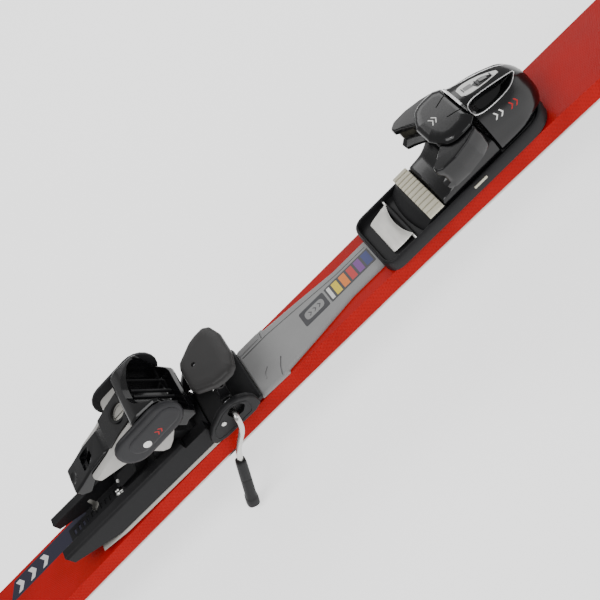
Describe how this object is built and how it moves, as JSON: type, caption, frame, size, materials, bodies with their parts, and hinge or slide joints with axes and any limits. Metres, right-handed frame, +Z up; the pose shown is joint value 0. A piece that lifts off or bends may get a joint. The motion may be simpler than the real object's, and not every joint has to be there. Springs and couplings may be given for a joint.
{
  "type": "alpine ski with binding",
  "caption": "Alpine ski with a toe piece on a sliding tray, a grey centre plate, an open step-in heel on a track and a sprung ski brake with its arms down.",
  "frame": {"origin": "on the running base at the middle of the boot sole", "axes": "+X along the ski to the tip, +Y across the ski to the left, +Z up from the running base"},
  "size_m": [1.77, 0.1136, 0.1731],
  "materials": {
    "base_black": "smooth sintered running base",
    "edge_steel": "ground steel",
    "core_wood": "laminated core",
    "cap_red": "satin red with a fine dot relief",
    "plate_grey": "fine satin grain",
    "label_dark": "printed film",
    "charcoal": "fine moulded grain",
    "gloss_black": "polished",
    "cover_grey": "satin",
    "heel_silver": "satin silver",
    "lifter_grey": "satin light grey",
    "steel": "plain steel",
    "afd_beige": "low friction plastic",
    "window_white": "printed plate",
    "spring_steel": "spring wire"
  },
  "bodies": {
    "ski": {"ski_base": "base_black", "steel_edge_left": "edge_steel", "steel_edge_right": "edge_steel", "ski_core": "core_wood", "ski_cap": "cap_red", "plate_screws_front": "steel", "plate_screws_rear": "steel", "centre_plate": "plate_grey", "plate_label": "label_dark", "scale_sticker": "label_dark", "brake_base": "charcoal", "brake_rivets": "steel", "brake_springs": "spring_steel", "heel_track": "charcoal", "heel_lifter": "lifter_grey", "heel_rack": "charcoal"},
    "toe": {"toe_tray": "charcoal", "tray_clips": "steel", "flap_pin": "steel", "afd_base": "charcoal", "toe_body": "gloss_black", "toe_housing": "gloss_black", "scale_window": "window_white", "toe_piston": "steel", "toe_spring": "spring_steel", "wing_pins": "steel", "toe_cover": "gloss_black"},
    "flap": {"lock_flap": "steel"},
    "glide": {"afd_pad": "afd_beige"},
    "left_wing": {"wing_left": "gloss_black"},
    "right_wing": {"wing_right": "gloss_black"},
    "toe_screw": {"toe_release_screw": "steel"},
    "indicator": {"release_indicator": "charcoal"},
    "brake": {"brake_arm_left": "steel", "brake_arm_right": "steel", "brake_foot_left": "charcoal", "brake_foot_right": "charcoal", "brake_frame": "gloss_black", "brake_screws": "steel", "brake_pad_pin": "steel"},
    "pad": {"brake_pad": "cover_grey"},
    "carriage": {"heel_carriage": "charcoal", "heel_pivot_pin": "steel", "pressure_tongue": "lifter_grey"},
    "adjuster": {"adjust_screw": "steel"},
    "heel": {"heel_shell": "heel_silver", "heel_cup": "gloss_black", "heel_cover_left": "cover_grey", "heel_cover_right": "cover_grey", "heel_rivets": "steel", "lever_pin": "steel", "heel_piston": "steel", "heel_spring": "spring_steel"},
    "lever": {"heel_lever": "gloss_black"},
    "heel_screw": {"heel_release_screw": "lifter_grey"}
  },
  "joints": [
    {"name": "toe_slide", "type": "slide", "parent": "ski", "child": "toe", "axis": [1, 0, 0], "range_m": [-0.035, 0]},
    {"name": "flap_hinge", "type": "hinge", "parent": "toe", "child": "flap", "pos_m": [0.1, 0, 0.0234], "axis": [0, 1, 0], "range_deg": [0, 50]},
    {"name": "afd_glide", "type": "slide", "parent": "toe", "child": "glide", "axis": [0, 1, 0], "range_m": [-0.005, 0.005], "stiffness_N_per_m": 300},
    {"name": "left_wing_pivot", "type": "hinge", "parent": "toe", "child": "left_wing", "pos_m": [0.178, 0.024, 0.06], "axis": [0, 0, -1], "range_deg": [0, 35], "stiffness_Nm_per_rad": 1, "springref_deg": -17.19},
    {"name": "right_wing_pivot", "type": "hinge", "parent": "toe", "child": "right_wing", "pos_m": [0.178, -0.024, 0.06], "axis": [0, 0, 1], "range_deg": [0, 35], "stiffness_Nm_per_rad": 1, "springref_deg": -17.19},
    {"name": "toe_screw_turn", "type": "hinge", "parent": "toe", "child": "toe_screw", "pos_m": [0.23, 0, 0.048], "axis": [1, 0, 0], "range_deg": [-720, 720]},
    {"name": "indicator_slide", "type": "slide", "parent": "toe", "child": "indicator", "axis": [1, 0, 0], "range_m": [-0.004, 0.004]},
    {"name": "brake_hinge", "type": "hinge", "parent": "ski", "child": "brake", "pos_m": [-0.116, 0, 0.038], "axis": [0, 1, 0], "range_deg": [0, 60], "stiffness_Nm_per_rad": 1.5, "springref_deg": -114.59},
    {"name": "pad_hinge", "type": "hinge", "parent": "brake", "child": "pad", "pos_m": [-0.106, 0, 0.06], "axis": [0, 1, 0], "range_deg": [-60, 0]},
    {"name": "heel_slide", "type": "slide", "parent": "ski", "child": "carriage", "axis": [1, 0, 0], "range_m": [-0.025, 0]},
    {"name": "adjust_screw_turn", "type": "hinge", "parent": "carriage", "child": "adjuster", "pos_m": [-0.251, -0.007, 0.0327], "axis": [-0.9397, 0, 0.3419], "range_deg": [0, 1801]},
    {"name": "heel_hinge", "type": "hinge", "parent": "carriage", "child": "heel", "pos_m": [-0.182, 0, 0.05], "axis": [0, 1, 0], "range_deg": [0, 30]},
    {"name": "lever_hinge", "type": "hinge", "parent": "heel", "child": "lever", "pos_m": [-0.20793, 0, 0.07891], "axis": [0, 1, 0], "range_deg": [-15, 0], "stiffness_Nm_per_rad": 0.4, "springref_deg": 28.65},
    {"name": "heel_screw_turn", "type": "hinge", "parent": "heel", "child": "heel_screw", "pos_m": [-0.18322, 0, 0.08938], "axis": [-0.0568, 0, 0.9984], "range_deg": [-720, 720]}
  ],
  "couplings": [
    {"joint": "indicator_slide", "follows": "toe_screw_turn", "m_per_rad": 0.000318},
    {"joint": "pad_hinge", "follows": "brake_hinge", "ratio": -1},
    {"joint": "adjust_screw_turn", "follows": "heel_slide", "rad_per_m": -1256.6}
  ]
}
